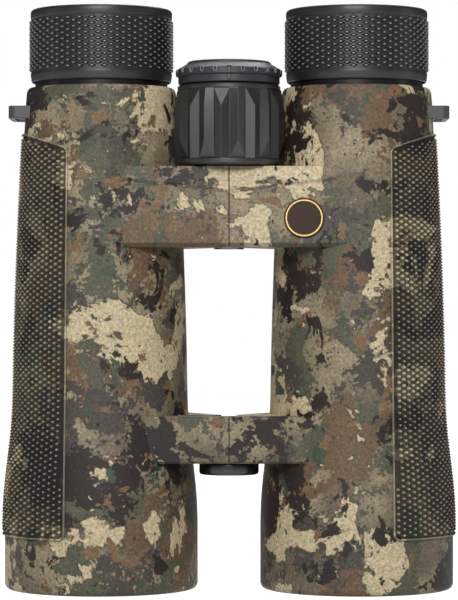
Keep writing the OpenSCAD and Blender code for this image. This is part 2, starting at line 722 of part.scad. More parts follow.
module field_stop(side) color("#1c1c1e") on_side(side) at_barrel()
    ring(field_lens_r, field_stop_r, eyepiece_z + field_stop_t, eyepiece_z + 2 * field_stop_t);

module eyepiece_barrel(side) color("#242426") on_side(side) at_barrel() difference() {
    union() {
        disc(eyepiece_r, eyepiece_z, eyepiece_top);
        disc(top_bore - bond, tube_top - 12, eyecup_z - bond);
    }
    disc(field_lens_r + bond, eyepiece_z - 1, eye_lens_z - 2);
    disc(eye_lens_r + bond, eyepiece_z - 1, eyepiece_top - eye_lip_h);
    disc(eye_lens_r - 0.6, eyepiece_z - 1, eyepiece_top + 1);
    ring(top_bore + 1, seal_reach - seal_r - bond, seal_z - seal_r - bond, seal_z + seal_r + bond);
}

module eyepiece_lenses(side) color("#8fb0a8") on_side(side) at_barrel() {
    field_z = eyepiece_z + field_lens_lift;
    thick_z = eye_lens_z - doublet_drop - doublet_thick;
    thin_top = thick_z - 2 * bond;
    lens(field_lens_r, field_z, field_z + field_lens_edge, 0.4 * field_bulge, field_bulge);
    lens(field_lens_r, thin_top - doublet_thin, thin_top, -doublet_crown, doublet_bulge);
    lens(field_lens_r, thick_z, eye_lens_z - doublet_drop, -doublet_bulge, doublet_crown);
}

module eye_lens(side) color("#9fc0b8") on_side(side) at_barrel()
    lens(eye_lens_r, eye_lens_z, eyepiece_top - eye_lip_h - bond, eye_bulge, -eye_hollow);

module eyepiece_seal(side) color("#101010") on_side(side) at_barrel()
    torus(seal_reach, seal_r, seal_z);

module click_ring(side) color("#303033") on_side(side) at_barrel()
    ring(click_r, eyepiece_r + run, ring_z, eyepiece_top);

module eyecup_sleeve(side) color("#1e1e20") on_side(side) at_barrel() {
    ring(sleeve_r, click_r + run, eyecup_z + 0.3, sleeve_top);
    ring(sleeve_r, sleeve_lip_r, sleeve_top - sleeve_lip_h, sleeve_top);
}

module eyecup_rubber(side) color("#151515") on_side(side) at_barrel() rotate_extrude() polygon([
    [sleeve_r + bond, eyecup_z], [sleeve_r + bond + band_in / 2, eyecup_z],
    [eyecup_r - band_in, eyecup_z + eyecup_band - band_in], [eyecup_r, eyecup_z + eyecup_band],
    [eyecup_r, eyecup_top - eyecup_round - 3 * band_in],
    [eyecup_r - band_in, eyecup_top - eyecup_round - 2 * band_in],
    for (a = [0 : 30 : 90]) [eyecup_r - band_in + eyecup_round * (cos(a) - 1),
                             eyecup_top + eyecup_round * (sin(a) - 1)],
    for (a = [90 : 30 : 180]) [mouth_r + mouth_round * (1 + cos(a)),
                               eyecup_top + mouth_round * (sin(a) - 1)],
    [mouth_r, sleeve_top + bond], [sleeve_r + bond, sleeve_top + bond]]);

// Hollow pin of the upper hinge, with windows for the focusing arms
module upper_hinge_tube() color("#9a9a9d") at_hinge() {
    half = asin((duct_w / 2) / hinge_tube_in) + 6;
    difference() {
        union() {
            disc(hinge_tube_r, upper_in_z, upper_in_top);
            disc(pin_end_r, upper_z - 0.5, upper_in_z + eps);
        }
        disc(hinge_tube_in, upper_left_low[1], upper_in_top + 1);
        disc(screw_r + run, screw_foot - free, far * 2);
        sector(far, arm_angle - half, arm_angle + fold + half, room_z, room_top);
        sector(far, 180 - arm_angle - half, 180 - arm_angle + half, room_z, room_top);
    }
}

// Washers between the knuckles, and the bush that guides the focus screw
module hinge_bushes() color("#c2a24a") at_hinge() {
    for (z = [upper_left_low[1], upper_right_high[1]])
        ring(upper_knuckle_r - 0.3, hinge_tube_r + run, z + 2 * bond, z + 2 * bond + washer_h);
    for (z = [lower_left_low[1], lower_right[1]])
        ring(lower_knuckle_r - 0.3, lower_pin_r + run, z + 2 * bond, z + 2 * bond + washer_h);
    ring(hinge_tube_in - bond, shaft_r + run, upper_in_top - bush_h, upper_in_top);
}

module lower_hinge_pin() color("#9a9a9d") at_hinge() difference() {
    union() {
        disc(lower_pin_r, pin_z, lower_in_top);
        disc(pin_end_r, lower_in_top - eps, lower_top - 0.4);
    }
    disc(insert_r + bond, pin_z - 1, pin_z + socket_depth + bond);
}

module tripod_socket() color("#c2a24a") at_hinge()
    ring(insert_r, socket_r, pin_z, pin_z + socket_depth);

module socket_cap() color("#1a1a1a") at_hinge() difference() {
    union() {
        disc(cap_r, cap_z + 1, cap_z + cap_h);
        translate([0, 0, cap_z]) cylinder(r1 = cap_r - 1, r2 = cap_r, h = 1 + eps);
    }
    disc(lower_pin_r + run, cap_z + cap_t, cap_z + cap_h + 1);
}

module focus_screw() color("#b8b8ba") at_hinge() {
    disc(screw_r, screw_foot, upper_in_top - bush_h - free + eps);
    disc(shaft_r, upper_in_top - bush_h - free, knob_top - 3);
}

module focus_carriage() color("#c2a24a") at_hinge() difference() {
    union() {
        disc(groove_r, carriage_z, carriage_z + carriage_h);
        disc(spool_r, carriage_z, right_arm_z - bond);
        disc(spool_r, right_arm_z + arm_t + bond, left_groove_z);
        disc(spool_r, left_groove_top, carriage_z + carriage_h);
        rotate(180 - arm_angle) translate([0, -1.5, left_groove_top])
            cube([hinge_tube_r, 3, carriage_z + carriage_h - left_groove_top]);
    }
    disc(screw_r + run, carriage_z - 1, carriage_z + carriage_h + 1);
}

// Knob: a plastic cup on the shaft, with the diopter ring turning in its mouth
skirt_r = core_r - core_wall;

module focus_knob_core() color("#202022") at_hinge() difference() {
    disc(core_r, knob_z, knob_top);
    difference() {
        disc(skirt_r + run, knob_z + core_floor, knob_top + 1);
        disc(shaft_r + 2.5, knob_z, knob_top - 3);
    }
    disc(shaft_r + bond, knob_z - 1, knob_top + 1);
}

module focus_knob_grip() color("#191919") at_hinge() {
    pitch = 360 / knob_ridges;
    groove_z = knob_z + knob_band_low;
    groove_h = knob_h - knob_band_low - knob_band_top - groove_stop;
    wide = knob_r * 1.1;
    difference() {
        rotate_extrude() polygon([
            [core_r + bond, knob_z], [knob_r - band_low_in - knob_bevel, knob_z],
            [knob_r - band_low_in, knob_z + knob_bevel], [knob_r - band_low_in, groove_z - band_low_in],
            [knob_r, groove_z], [knob_r, knob_top - knob_band_top - 4 / 3 * band_top_in],
            [knob_r - band_top_in, knob_top - knob_band_top],
            [knob_r - band_top_in, knob_top - knob_bevel],
            [knob_r - band_top_in - knob_bevel, knob_top], [core_r + bond, knob_top]]);
        for (i = [0 : knob_ridges - 1]) rotate((i + 0.5) * pitch)
            translate([0, 0, groove_z + (i % 2) * groove_stop]) linear_extrude(groove_h)
                polygon([[knob_r - groove_depth, 0],
                         [wide * cos(pitch / 2), wide * sin(pitch / 2)],
                         [wide * cos(pitch / 2), -wide * sin(pitch / 2)]]);
    }
}

module diopter_ring() color("#232325") at_hinge() difference() {
    cone_z = diopter_z + diopter_band_h;
    skirt_in = skirt_r - diopter_skirt_t;
    rotate_extrude() polygon([
        [0, diopter_top - diopter_roof_t], [skirt_in, diopter_top - diopter_roof_t],
        [skirt_in, diopter_z - diopter_skirt_h], [skirt_r, diopter_z - diopter_skirt_h],
        [skirt_r, diopter_z], [diopter_band_r, diopter_z],
        [diopter_band_r, cone_z - diopter_bevel / 2], [diopter_r, cone_z],
        [diopter_top_r, diopter_top - diopter_bevel], [diopter_top_r - diopter_bevel, diopter_top],
        [0, diopter_top]]);
    disc(diopter_cap_r + bond, diopter_top - 1.1 * diopter_cap_t - bond, diopter_top + 1);
    for (i = [0 : notches - 1]) rotate(i * 360 / notches)
        translate([diopter_r - notch_w, -notch_w / 2, cone_z + 0.3]) cube([2 * notch_w, notch_w, notch_h]);
}

module diopter_cap() color("#2c2c2e") at_hinge()
    disc(diopter_cap_r, diopter_top - 1.1 * diopter_cap_t, diopter_top - 0.1 * diopter_cap_t);

module blank_badge() color("#b8934a") {
    tilt = atan2(upper_lean, crease_z - upper_z - upper_chamfer);
    face_y = -upper_front + (badge_z - upper_chamfer) * tan(tilt);
    translate([badge_x, face_y, upper_z + badge_z]) rotate([90 - tilt, 0, 0]) difference() {
        disc(badge_r, bond, badge_t);
        disc(badge_r - badge_rim, badge_t - badge_rim_h, badge_t + 1);
    }
}

optics_tube(left);  // left_optics_tube
armor(left);  // left_armor
grip_panel(left);  // left_grip_panel
upper_cover(left);  // left_upper_cover
lower_cover(left);  // left_lower_cover
upper_arm(left);  // left_upper_arm
lower_arm(left);  // left_lower_arm
strap_lug(left);  // left_strap_lug
objective_ring(left);  // left_objective_ring
objective_cell(left);  // left_objective_cell
front_lens(left);  // left_front_lens
rear_lens(left);  // left_rear_lens
focus_cell(left);  // left_focus_cell
focus_lens(left);  // left_focus_lens
prism_cage(left);  // left_prism_cage
prisms(left);  // left_prisms
field_stop(left);  // left_field_stop
eyepiece_barrel(left);  // left_eyepiece_barrel
eyepiece_lenses(left);  // left_eyepiece_lenses
eye_lens(left);  // left_eye_lens
eyepiece_seal(left);  // left_eyepiece_seal
click_ring(left);  // left_click_ring
eyecup_sleeve(left);  // left_eyecup_sleeve
eyecup_rubber(left);  // left_eyecup_rubber
optics_tube(right);  // right_optics_tube
armor(right);  // right_armor
grip_panel(right);  // right_grip_panel
upper_cover(right);  // right_upper_cover
lower_cover(right);  // right_lower_cover
upper_arm(right);  // right_upper_arm
lower_arm(right);  // right_lower_arm
strap_lug(right);  // right_strap_lug
objective_ring(right);  // right_objective_ring
objective_cell(right);  // right_objective_cell
front_lens(right);  // right_front_lens
rear_lens(right);  // right_rear_lens
focus_cell(right);  // right_focus_cell
focus_lens(right);  // right_focus_lens
prism_cage(right);  // right_prism_cage
prisms(right);  // right_prisms
field_stop(right);  // right_field_stop
eyepiece_barrel(right);  // right_eyepiece_barrel
eyepiece_lenses(right);  // right_eyepiece_lenses
eye_lens(right);  // right_eye_lens
eyepiece_seal(right);  // right_eyepiece_seal
click_ring(right);  // right_click_ring
eyecup_sleeve(right);  // right_eyecup_sleeve
eyecup_rubber(right);  // right_eyecup_rubber
upper_hinge_tube();
hinge_bushes();
lower_hinge_pin();
tripod_socket();
socket_cap();
focus_screw();
focus_carriage();
focus_knob_core();
focus_knob_grip();
diopter_ring();
diopter_cap();
blank_badge();
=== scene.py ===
import json
import math
import bpy
import bmesh
from mathutils import Matrix, Vector


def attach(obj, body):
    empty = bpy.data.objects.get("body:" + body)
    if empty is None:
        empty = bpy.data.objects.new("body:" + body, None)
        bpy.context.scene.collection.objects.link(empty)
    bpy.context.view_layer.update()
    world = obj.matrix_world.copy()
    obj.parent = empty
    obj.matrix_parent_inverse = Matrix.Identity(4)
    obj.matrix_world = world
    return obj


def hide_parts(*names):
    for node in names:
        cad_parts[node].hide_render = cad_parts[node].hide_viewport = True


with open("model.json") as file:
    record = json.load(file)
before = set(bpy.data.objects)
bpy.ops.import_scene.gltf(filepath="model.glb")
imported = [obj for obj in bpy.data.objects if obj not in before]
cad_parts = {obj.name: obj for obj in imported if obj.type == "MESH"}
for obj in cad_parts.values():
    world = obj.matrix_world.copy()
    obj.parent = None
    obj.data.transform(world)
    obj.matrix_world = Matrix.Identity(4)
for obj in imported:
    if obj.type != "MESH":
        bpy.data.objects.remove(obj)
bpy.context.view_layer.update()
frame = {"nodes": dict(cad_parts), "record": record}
print("frame loaded:", len(frame["nodes"]), "CAD nodes")

# shapes are drawn in millimetres, and finishPiece brings them to metres
mm = 0.001
near = 0.01     # heights and radii this close, in mm, are taken as equal
sides = {"left": -1, "right": 1}


def srgb(hexText):
    values = [int(hexText[i:i + 2], 16) / 255 for i in (1, 3, 5)]
    return [v / 12.92 if v <= 0.04045 else ((v + 0.055) / 1.055) ** 2.4 for v in values] + [1]


def addNode(tree, kind, values=None, links=None, **settings):
    node = tree.nodes.new("ShaderNode" + kind)
    for key, value in settings.items():
        setattr(node, key, value)
    for key, value in (values or {}).items():
        node.inputs[key].default_value = value
    for key, source in (links or {}).items():
        tree.links.new(source, node.inputs[key])
    return node


def startMaterial(name, **sockets):
    material = bpy.data.materials.new(name)
    material.use_nodes = True
    tree = material.node_tree
    tree.nodes.clear()
    shader = addNode(tree, "BsdfPrincipled")
    for key, value in sockets.items():
        shader.inputs[key.replace("_", " ")].default_value = value
    addNode(tree, "OutputMaterial", links={"Surface": shader.outputs[0]})
    place = addNode(tree, "TexCoord").outputs["Object"]
    return material, tree, shader, place


# scale of a noise whose blots are about this many millimetres wide
def blotScale(width):
    return 1 / (2 * width * mm)


# grain in the gloss and in the surface; its width and depth are in mm, and rough is its range of roughness
def layGrain(tree, shader, place, width, depth, rough):
    grain = addNode(tree, "TexNoise", {"Scale": blotScale(width), "Detail": 3}, {"Vector": place})
    gloss = addNode(tree, "MapRange", {"To Min": rough[0], "To Max": rough[1]}, {"Value": grain.outputs[0]})
    tree.links.new(gloss.outputs[0], shader.inputs["Roughness"])
    bump = addNode(tree, "Bump", {"Strength": 0.5, "Distance": depth * mm}, {"Height": grain.outputs[0]})
    tree.links.new(bump.outputs[0], shader.inputs["Normal"])


camoPrint = {
    "ground": "#857A63", "groundShade": "#5F5546", "cloudWidth": 9,
    # in the order of printing: tone, blot width in mm, how much of the noise stays bare, offset in m,
    # stippled share of the edge
    "blots": [
        ("#5E4B38", 13, 0.540, (0.77, 0.41, 0.23), 0.16),
        ("#4B4C3D", 12, 0.545, (0.15, 0.66, 0.52), 0.16),
        ("#413B36", 9, 0.555, (0.35, 0.27, 0.11), 0.18),
        ("#241B18", 15, 0.550, (0.58, 0.27, 0.91), 0.10),
        ("#38302A", 14, 0.546, (0.51, 0.22, 0.64), 0.02),   # thin dark edge of the pale patches
        ("#B1A384", 14, 0.556, (0.51, 0.22, 0.64), 0.02),   # the pale patches
        ("#6B543E", 3.4, 0.610, (0.44, 0.95, 0.19), 0.05),
        ("#3F4637", 4.4, 0.620, (0.22, 0.48, 0.65), 0.02),
        ("#201815", 7.5, 0.600, (0.19, 0.35, 0.74), 0.03),
        ("#29221F", 1.5, 0.660, (0.69, 0.05, 0.84), 0.0),
        ("#AFA285", 1.3, 0.680, (0.07, 0.59, 0.28), 0.0),
    ],
    "edgeSoftness": 0.012, "raggedness": 0.6, "detail": 5.5, "distortion": 0.4, "stippleWidth": 0.55,
    "dotWidth": 0.36, "dotDepth": 1.4, "dotHue": 0.5,       # the film's fine dots
    "footShadeScale": 0.14, "tipShadeScale": 0.85,                        # painted shade: how much colour is kept at the foot and tip of a grip's raised dots
    "grainWidth": 0.5, "grainDepth": 0.05, "rough": (0.52, 0.7),
}


# where one ragged blot of the print lies, 0 to 1
def blotMask(tree, place, stipple, width, bare, offset, stippled):
    moved = addNode(tree, "Mapping", {"Location": offset}, {"Vector": place})
    blots = addNode(tree, "TexNoise",
                    {"Scale": blotScale(width), "Detail": camoPrint["detail"],
                     "Roughness": camoPrint["raggedness"], "Distortion": camoPrint["distortion"]},
                    {"Vector": moved.outputs[0]})
    height = addNode(tree, "Math", {1: stippled}, {0: stipple, 2: blots.outputs[0]},
                     operation="MULTIPLY_ADD")
    edge = bare + stippled / 2
    mask = addNode(tree, "MapRange", {"From Min": edge, "From Max": edge + camoPrint["edgeSoftness"]},
                   {"Value": height.outputs[0]})
    return mask.outputs[0]


# Film-printed rubber: the print lies on moulded rubber, so it mottles and keeps a soft satin sheen.
# Stippled brown and green lie under crisp pale patches with a thin dark edge, as on printed camouflage.
# A Mix node's inputs 6 and 7 are its colours, and its output 2 is the mixed one.
def printedRubber(name, dotted=False):
    material, tree, shader, place = startMaterial(name, IOR=1.5, Specular_IOR_Level=0.32)
    stipple = addNode(tree, "TexNoise", {"Scale": blotScale(camoPrint["stippleWidth"]), "Detail": 1.5},
                      {"Vector": place})
    cloud = addNode(tree, "TexNoise", {"Scale": blotScale(camoPrint["cloudWidth"]), "Detail": 5},
                    {"Vector": place})
    shade = addNode(tree, "MapRange", {"From Min": 0.4, "From Max": 0.6}, {"Value": cloud.outputs[0]})
    colour = addNode(tree, "Mix", {6: srgb(camoPrint["ground"]), 7: srgb(camoPrint["groundShade"])},
                     {0: shade.outputs[0]}, data_type="RGBA").outputs[2]
    for tone, *blot in camoPrint["blots"]:
        mask = blotMask(tree, place, stipple.outputs[0], *blot)
        colour = addNode(tree, "Mix", {7: srgb(tone)}, {0: mask, 6: colour}, data_type="RGBA").outputs[2]
    # the printed film's coloured dots, drawn about 0.4 mm wide so that they show
    dots = addNode(tree, "TexNoise", {"Scale": blotScale(camoPrint["dotWidth"]), "Detail": 1.5},
                   {"Vector": place})
    hue = camoPrint["dotHue"]
    tint = addNode(tree, "VectorMath", {1: (hue, hue, hue), 2: (1 - hue / 2, 1 - hue / 2, 1 - hue / 2)},
                   {0: dots.outputs["Color"]}, operation="MULTIPLY_ADD")
    tinted = addNode(tree, "VectorMath", links={0: colour, 1: tint.outputs[0]}, operation="MULTIPLY")
    depth = camoPrint["dotDepth"]
    light = addNode(tree, "Math", {1: depth, 2: 1 - depth / 2}, {0: dots.outputs[0]},
                    operation="MULTIPLY_ADD")
    colour = addNode(tree, "VectorMath", links={0: tinted.outputs[0], "Scale": light.outputs[0]},
                     operation="SCALE").outputs[0]
    if dotted:
        # painted shade: the colour darkens towards the foot of the raised dots, deepest on the panel between
        # them
        rise = addNode(tree, "Attribute", attribute_name="rise").outputs["Fac"]
        paintedShade = addNode(tree, "MapRange",
                        {"From Max": 0.8, "To Min": camoPrint["footShadeScale"], "To Max": camoPrint["tipShadeScale"]},
                        {"Value": rise})
        colour = addNode(tree, "VectorMath", links={0: colour, "Scale": paintedShade.outputs[0]},
                         operation="SCALE").outputs[0]
    tree.links.new(colour, shader.inputs["Base Color"])
    # moulding grain, 0.25 mm wide on the real rubber and drawn at 0.5 mm
    layGrain(tree, shader, place, camoPrint["grainWidth"], camoPrint["grainDepth"], camoPrint["rough"])
    return material


# One moulded or machined finish: a base colour that drifts a little, and a grain in its gloss and surface
def grainedFinish(name, tone, drift, roughness, grainWidth, grainDepth, stretch=(1, 1, 1), **sockets):
    material, tree, shader, place = startMaterial(name, **sockets)
    cloud = addNode(tree, "TexNoise", {"Scale": blotScale(4), "Detail": 3}, {"Vector": place})
    colour = addNode(tree, "Mix", {6: srgb(tone), 7: srgb(drift)}, {0: cloud.outputs[0]}, data_type="RGBA")
    tree.links.new(colour.outputs[2], shader.inputs["Base Color"])
    stretched = addNode(tree, "Mapping", {"Scale": stretch}, {"Vector": place})
    layGrain(tree, shader, stretched.outputs[0], grainWidth, grainDepth, (roughness - 0.1, roughness + 0.1))
    return material


# another tone, growing to this share as the attribute "rise" goes from one value to the other
def toneAtRise(material, tone, share, start, end):
    tree = material.node_tree
    shader = tree.nodes["Principled BSDF"]
    under = shader.inputs["Base Color"].links[0].from_socket
    rise = addNode(tree, "Attribute", attribute_name="rise").outputs["Fac"]
    mask = addNode(tree, "MapRange", {"From Min": start, "From Max": end, "To Max": share}, {"Value": rise})
    colour = addNode(tree, "Mix", {7: srgb(tone)}, {0: mask.outputs[0], 6: under}, data_type="RGBA")
    tree.links.new(colour.outputs[2], shader.inputs["Base Color"])


# Polished optical glass with a green anti-reflection coating: clear, with a coloured glint
def polishedGlass(name, tone, glint):
    material, tree, shader, place = startMaterial(name, IOR=1.52, Transmission_Weight=1.0, Coat_Weight=0.3,
                                                  Specular_Tint=srgb(glint), Coat_Tint=srgb(glint))
    dust = addNode(tree, "TexNoise", {"Scale": blotScale(2), "Detail": 5}, {"Vector": place})
    gloss = addNode(tree, "MapRange", {"From Min": 0.45, "From Max": 0.75, "To Min": 0.01, "To Max": 0.05},
                    {"Value": dust.outputs[0]})
    tree.links.new(gloss.outputs[0], shader.inputs["Roughness"])
    colour = addNode(tree, "Mix", {6: srgb(tone), 7: srgb("#FFFFFF")}, {0: dust.outputs[0]},
                     data_type="RGBA")
    tree.links.new(colour.outputs[2], shader.inputs["Base Color"])
    return material


camouflageRubber = printedRubber("moulded_rubber_camouflage_print")
# the same print over the grips' pointed dots, with painted shade between them; their tips and the panel's rim
# are painted pale as a highlight
gripRubber = printedRubber("dotted_rubber_camouflage_print", dotted=True)
toneAtRise(gripRubber, "#C8BEA4", 0.42, 0.55, 1.0)
# moulded nitrile rubber: deep grey-black, no sharp glint, a soft sheen at the edges
mouldedRubber = grainedFinish("moulded_black_rubber", "#161617", "#1E1E20", 0.42, 0.4, 0.03, IOR=1.5)
# the eyecup's knurl is the same rubber, with painted light: its darker base is painted shade on the flanks,
# the valley floors are painted lighter, and the points are painted grey as highlights
knurledRubber = grainedFinish("knurled_black_rubber", "#09090A", "#0D0D0E", 0.42, 0.4, 0.03, IOR=1.5)
toneAtRise(knurledRubber, "#1F1F21", 1.0, 0.3, 0.0)
toneAtRise(knurledRubber, "#929294", 0.75, 0.6, 1.0)
# the knob's rubber is a harder, smoother grade, so its facets stay crisp and greyer
knobRubber = grainedFinish("hard_black_rubber", "#121213", "#1A1A1C", 0.44, 0.35, 0.02, IOR=1.5,
                           Specular_IOR_Level=0.68)
# moulded glass-filled nylon: black with a faint orange peel
blackNylon = grainedFinish("moulded_black_nylon", "#141415", "#1B1B1D", 0.36, 0.6, 0.02, IOR=1.52)
# the dial is a satin ABS moulding with a finer skin, which catches light along its crown
satinDial = grainedFinish("satin_black_abs", "#242428", "#2C2C30", 0.46, 0.5, 0.02, IOR=1.5)
toneAtRise(satinDial, "#9A9A9C", 0.75, 0.3, 1.0)    # painted highlight on the notch edges
toneAtRise(satinDial, "#040404", 0.9, 0.0, -1.0)    # painted shade: the index grooves are painted black
# the strap loops' nylon is the same moulding in grey, with a duller skin
greyNylon = grainedFinish("moulded_grey_nylon", "#303034", "#3A3A3E", 0.5, 0.6, 0.03, IOR=1.52)
# moulded ABS from a polished tool: a glossy black with a slight waviness
glossAbs = grainedFinish("moulded_gloss_black_abs", "#161617", "#1E1E20", 0.24, 1.2, 0.01, IOR=1.54)
# cast light alloy under satin black paint: thick paint softens the casting's pebbled skin
paintedCasting = grainedFinish("painted_cast_alloy", "#1E1E21", "#28282B", 0.42, 0.7, 0.05, IOR=1.5)
# turned metals: rings along the axis stay in the gloss, so their grain is drawn out round it
turned = (0.15, 0.15, 6)
anodisedAluminium = grainedFinish("black_anodised_aluminium", "#1B1B1D", "#252528", 0.36, 0.3, 0.01,
                                  turned, Metallic=0.6)
machinedAluminium = grainedFinish("turned_aluminium", "#B9BABD", "#A9AAAE", 0.32, 0.3, 0.01,
                                  turned, Metallic=1.0)
groundSteel = grainedFinish("ground_steel", "#9B9C9F", "#8B8C90", 0.28, 0.3, 0.008, turned, Metallic=1.0)
turnedBrass = grainedFinish("turned_brass", "#C9A557", "#B8944A", 0.3, 0.3, 0.008, turned, Metallic=1.0)
# the badge: a thin satin gilt plating, and a dark enamel that hardly shines
paleGilt = grainedFinish("satin_gilt_plate", "#B59A66", "#A88B55", 0.5, 0.3, 0.01, Metallic=1.0)
darkEnamel = grainedFinish("dark_brown_enamel", "#2C1D15", "#36251B", 0.65, 0.5, 0.03, IOR=1.5,
                           Specular_IOR_Level=0.25)
coatedGlass = polishedGlass("coated_optical_glass", "#E4F0EA", "#7FD6A8")
prismGlass = polishedGlass("polished_prism_glass", "#EAF2F2", "#FFFFFF")

slotFinish = {
    "camo_rubber": camouflageRubber, "camo_grip_rubber": gripRubber, "black_rubber": mouldedRubber,
    "black_plastic": blackNylon, "gloss_black_plastic": glossAbs, "grey_plastic": greyNylon,
    "black_alloy": paintedCasting, "black_anodised": anodisedAluminium,
    "bare_aluminium": machinedAluminium, "steel": groundSteel, "brass": turnedBrass,
    "bronze_badge": paleGilt, "coated_glass": coatedGlass, "prism_glass": prismGlass}
slotOf = {part["node"]: part["material_slot"] for part in frame["record"]["subparts"]}
for nodeName, node in frame["nodes"].items():
    node.data.materials.clear()
    node.data.materials.append(slotFinish[slotOf[nodeName]])
print("materials made, and given to", len(frame["nodes"]), "CAD nodes")


# start and end are in degrees, and two different radii give part of an ellipse
def arc(centre, radii, start, end, count):
    angles = [math.radians(start + (end - start) * i / count) for i in range(count + 1)]
    return [(centre[0] + radii[0] * math.cos(a), centre[1] + radii[1] * math.sin(a)) for a in angles]


# closed outline of radius and height, turned round the vertical axis
def lathe(outline, steps):
    bm = bmesh.new()
    points = [bm.verts.new((r, 0, z)) for r, z in outline]
    edges = [bm.edges.new(pair) for pair in zip(points, points[1:] + points[:1])]
    bmesh.ops.spin(bm, geom=points + edges, cent=(0, 0, 0), axis=(0, 0, 1), angle=math.tau,
                   steps=steps, use_merge=True)
    bmesh.ops.remove_doubles(bm, verts=bm.verts, dist=0.0005)
    bmesh.ops.recalc_face_normals(bm, faces=bm.faces)
    return bm


# merged copy of a CAD node, in millimetres, with each flat side as one face
def copyNode(nodeName):
    bm = bmesh.new()
    bm.from_mesh(frame["nodes"][nodeName].data)
    bmesh.ops.scale(bm, vec=(1 / mm, 1 / mm, 1 / mm), verts=bm.verts)
    bmesh.ops.remove_doubles(bm, verts=bm.verts, dist=0.002)
    bmesh.ops.dissolve_limit(bm, angle_limit=math.radians(1), verts=bm.verts, edges=bm.edges)
    return bm


def mirrorAcross(bm, side):
    if side < 0:
        bmesh.ops.scale(bm, vec=(-1, 1, 1), verts=bm.verts)
        bmesh.ops.reverse_faces(bm, faces=bm.faces)


# softEdge is a bevel's width in mm, its steps and the least angle between faces that it takes
def finishPiece(name, bm, materials, body, replaced, sharp=32, softEdge=None):
    bmesh.ops.scale(bm, vec=(mm, mm, mm), verts=bm.verts)
    mesh = bpy.data.meshes.new(name)
    bm.to_mesh(mesh)
    bm.free()
    for material in materials:
        mesh.materials.append(material)
    mesh.shade_smooth()
    mesh.set_sharp_from_angle(angle=math.radians(sharp))
    piece = bpy.data.objects.new(name, mesh)
    bpy.context.scene.collection.objects.link(piece)
    if softEdge:
        width, steps, angle = softEdge
        edge = piece.modifiers.new("softened edges", "BEVEL")
        edge.width = width * mm
        edge.segments = steps
        edge.limit_method = "ANGLE"
        edge.angle_limit = math.radians(angle)
        edge.harden_normals = True
    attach(piece, body)
    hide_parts(replaced)


barrel = {
    "spacing": 75.5, "rim": 28.5, "waist": 25.5, "neck": 22.1,
    "flareStart": 16.2, "flareHeight": 45, "taperStart": 52, "taperEnd": 146, "taperPower": 1.6,
    "shoulder": 145.2, "shoulderHeight": 2.3, "shoulderIn": 1.2, "rimRound": 1.8, "skinStart": 4,
    "wall": 1.2, "lip": 0.8, "lensOpening": 26.0, "neckOpening": 19.65, "topEdge": 0.3, "footEdge": 0.25,
    "rings": 66, "steps": 144,
}
barrelX = barrel["spacing"] / 2
hingeY = -11.6425       # the hinge's axis, in front of the barrels' axes
armorTop = barrel["shoulder"] + barrel["shoulderHeight"]


# wide at the objective, eased in to the waist, then narrowing faster towards the neck
def barrelRadius(z):
    t = min(1, max(0, (z - barrel["flareStart"]) / barrel["flareHeight"]))
    flare = t * t * t * (t * (6 * t - 15) + 10)
    taper = max(0, z - barrel["taperStart"]) / (barrel["taperEnd"] - barrel["taperStart"])
    return (barrel["rim"] - (barrel["rim"] - barrel["waist"]) * flare
            - (barrel["waist"] - barrel["neck"]) * taper ** barrel["taperPower"])


def armorOutline():
    rings = barrel["rings"]
    start = barrel["skinStart"]
    heights = [start + (barrel["shoulder"] - start) * i / rings for i in range(rings)]
    rim = arc((barrel["rim"] - barrel["rimRound"], barrel["rimRound"]),
              (barrel["rimRound"], barrel["rimRound"]), -90, 0, 8)
    skin = [(barrelRadius(z), z) for z in heights]
    crown = arc((barrel["neck"] - barrel["shoulderIn"], barrel["shoulder"]),
                (barrel["shoulderIn"], barrel["shoulderHeight"]), 0, 90, 8)
    top = [(barrel["neckOpening"] + barrel["topEdge"], armorTop),
           (barrel["neckOpening"], armorTop - barrel["topEdge"]),
           (barrel["neckOpening"], armorTop - barrel["lip"])]
    inside = [(barrelRadius(z) - barrel["wall"], z) for z in reversed(heights[::3])]
    foot = [(barrel["rim"] - barrel["wall"], barrel["lip"]), (barrel["lensOpening"], barrel["lip"]),
            (barrel["lensOpening"], barrel["footEdge"]), (barrel["lensOpening"] + barrel["footEdge"], 0)]
    return rim + skin + crown + top + inside + foot


for sideName, side in sides.items():
    bm = lathe(armorOutline(), barrel["steps"])
    bmesh.ops.translate(bm, vec=(side * barrelX, 0, 0), verts=bm.verts)
    finishPiece(f"{sideName}_barrel_armor", bm, [camouflageRubber], f"{sideName}_barrel",
                f"{sideName}_armor")
print("barrel armor made")


grip = {
    "edgeLow": 9.2, "edgeHigh": 8.5, "bottom": 16.0, "topFront": 129.0, "topSide": 133.9,
    "corner": 1.8, "floor": 0.25, "rim": 0.75, "rimWidth": 0.32, "rimEdge": 0.12, "slope": 0.22,
    "rimHighlight": 0.75, "skirt": 1.3,
    "cutWidth": 1.1, "cutsAcross": 27, "cutHeight": 2.6, "cutsUp": 44,      # cuts that let the sheet bend
    "dotPitch": 3.2, "dotRow": 0.875, "dotRadius": 0.8, "dotTip": 0.2, "dotHeight": 0.74, "dotSink": 0.1,
    "dotStretch": (1, 1.15, 0.9), "margin": 1.5,
    "reference": 25.0,      # radius at which the panel's width is drawn flat
}


# half the angle that the panel covers at a height
def gripHalf(z):
    share = (z - grip["bottom"]) / (grip["topSide"] - grip["bottom"])
    return math.acos((grip["edgeLow"] + (grip["edgeHigh"] - grip["edgeLow"]) * share) / barrelRadius(z))


# the panel's upper edge climbs from the front to the side
def gripTop(angle, z):
    x = barrelRadius(z) * math.cos(angle)
    share = min(1, max(0, (x - grip["edgeHigh"]) / (barrel["neck"] - grip["edgeHigh"])))
    return grip["topFront"] + (grip["topSide"] - grip["topFront"]) * share


